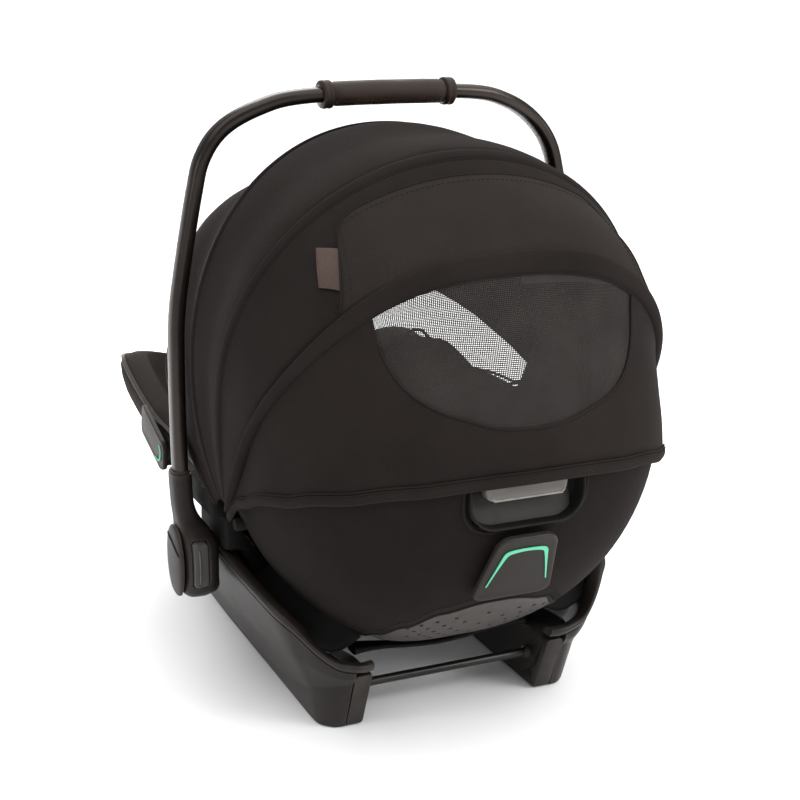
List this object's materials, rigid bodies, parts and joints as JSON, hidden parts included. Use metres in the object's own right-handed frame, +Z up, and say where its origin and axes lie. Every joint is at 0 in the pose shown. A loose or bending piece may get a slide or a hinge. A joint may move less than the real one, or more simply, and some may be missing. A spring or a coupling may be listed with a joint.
{
  "type": "infant car seat",
  "caption": "Rear-facing infant car seat on two runners, with a folding hood, a mesh rear window, a rear release pocket and a folding carry handle with a stitched grip",
  "frame": {"origin": "middle of the footprint, on the floor under the runners", "axes": "X towards the child's left, Y towards the head end, Z up"},
  "size_m": [0.4448, 0.6994, 0.5754],
  "materials": {
    "frame_plastic": "moulded, fine grain, dark brown-grey",
    "shell_plastic": "moulded, matt",
    "grey_plastic": "satin grey",
    "pocket_plastic": "matt dark grey",
    "mark_green": "green belt path mark",
    "button_red": "red push button",
    "hood_fabric": "tight weave, near-black brown",
    "seat_fabric": "knit, padded",
    "shell_fabric": "tight weave over the shell",
    "mesh_fabric": "open mesh",
    "webbing": "woven strap",
    "leather": "stitched, dark brown",
    "foam": "crushable foam liner",
    "tube_metal": "satin anodised brown-grey",
    "steel": "plain steel",
    "dark_steel": "dark coated round bar"
  },
  "bodies": {
    "seat": {"shell_tub": "shell_plastic", "foam_liner": "foam", "seat_cover": "seat_fabric", "shell_cover": "shell_fabric", "belly_plate": "shell_plastic", "infant_insert": "seat_fabric", "head_support": "seat_fabric", "release_pocket": "pocket_plastic", "belt_guide_rear": "frame_plastic", "belt_guide_left": "frame_plastic", "belt_guide_right": "frame_plastic", "belt_mark_rear": "mark_green", "belt_mark_left": "mark_green", "belt_mark_right": "mark_green", "shoulder_strap_left": "webbing", "shoulder_strap_right": "webbing", "shoulder_pad_left": "seat_fabric", "shoulder_pad_right": "seat_fabric", "crotch_pad": "seat_fabric", "crotch_strap": "webbing", "buckle_body": "frame_plastic", "chest_clip": "frame_plastic", "adjuster_strap": "webbing", "adjuster_bezel": "frame_plastic", "rail_outer_left": "frame_plastic", "rail_outer_right": "frame_plastic", "rail_cap_left": "frame_plastic", "rail_cap_right": "frame_plastic", "rail_inner_left": "frame_plastic", "rail_inner_right": "frame_plastic", "rear_bar": "dark_steel", "front_bar": "dark_steel", "cross_stay_left": "steel", "cross_stay_right": "steel", "hub_base_left": "shell_plastic", "hub_base_right": "shell_plastic", "hood_pivot_left": "shell_plastic", "hood_pivot_right": "shell_plastic"},
    "handle": {"handle_tube": "tube_metal", "handle_grip": "leather", "grip_ring_left": "leather", "grip_ring_right": "leather", "hub_housing_left": "frame_plastic", "hub_housing_right": "frame_plastic", "hub_cap_left": "frame_plastic", "hub_cap_right": "frame_plastic"},
    "hub_button_l": {"hub_button_left": "grey_plastic"},
    "hub_button_r": {"hub_button_right": "grey_plastic"},
    "hood_rear": {"hood_hoop_rear": "steel", "hood_rear_panel": "hood_fabric", "hood_window": "mesh_fabric", "window_flap": "hood_fabric", "hood_tag": "leather"},
    "hood_mid": {"hood_hoop_mid": "steel", "hood_mid_panel": "hood_fabric"},
    "hood_front": {"hood_hoop_front": "steel", "hood_front_panel": "hood_fabric"},
    "release_lever": {"release_handle": "grey_plastic"},
    "harness_button": {"buckle_button": "button_red"},
    "adjuster_key": {"adjuster_button": "grey_plastic"}
  },
  "joints": [
    {"name": "handle_fold", "type": "hinge", "parent": "seat", "child": "handle", "pos_m": [0, 0.0446, 0.132], "axis": [1, 0, 0], "range_deg": [0, 60]},
    {"name": "hub_button_push_left", "type": "slide", "parent": "handle", "child": "hub_button_l", "axis": [0, -1, 0], "range_m": [0, 0.004], "stiffness_N_per_m": 1500},
    {"name": "hub_button_push_right", "type": "slide", "parent": "handle", "child": "hub_button_r", "axis": [0, -1, 0], "range_m": [0, 0.004], "stiffness_N_per_m": 1500},
    {"name": "hood_fold_rear", "type": "hinge", "parent": "seat", "child": "hood_rear", "pos_m": [0, 0.1096, 0.18], "axis": [-1, 0, 0], "range_deg": [0, 36], "deforming": ["hood_rear_panel", "hood_window", "window_flap", "hood_tag"]},
    {"name": "hood_fold_mid", "type": "hinge", "parent": "hood_rear", "child": "hood_mid", "pos_m": [0, 0.1096, 0.18], "axis": [-1, 0, 0], "range_deg": [0, 23.04], "deforming": ["hood_mid_panel"]},
    {"name": "hood_fold_front", "type": "hinge", "parent": "hood_mid", "child": "hood_front", "pos_m": [0, 0.1096, 0.18], "axis": [-1, 0, 0], "range_deg": [0, 39.5], "deforming": ["hood_front_panel"]},
    {"name": "release_pull", "type": "slide", "parent": "seat", "child": "release_lever", "axis": [0, 0, 1], "range_m": [0, 0.012], "stiffness_N_per_m": 1200},
    {"name": "buckle_press", "type": "slide", "parent": "seat", "child": "harness_button", "axis": [0, 0, -1], "range_m": [0, 0.0025], "stiffness_N_per_m": 1500},
    {"name": "adjuster_press", "type": "slide", "parent": "seat", "child": "adjuster_key", "axis": [0, -0.4786, -0.878], "range_m": [0, 0.0025], "stiffness_N_per_m": 1500}
  ],
  "couplings": [
    {"joint": "hood_fold_mid", "follows": "hood_fold_rear", "ratio": 0.64},
    {"joint": "hood_fold_front", "follows": "hood_fold_rear", "ratio": 1.0972}
  ]
}
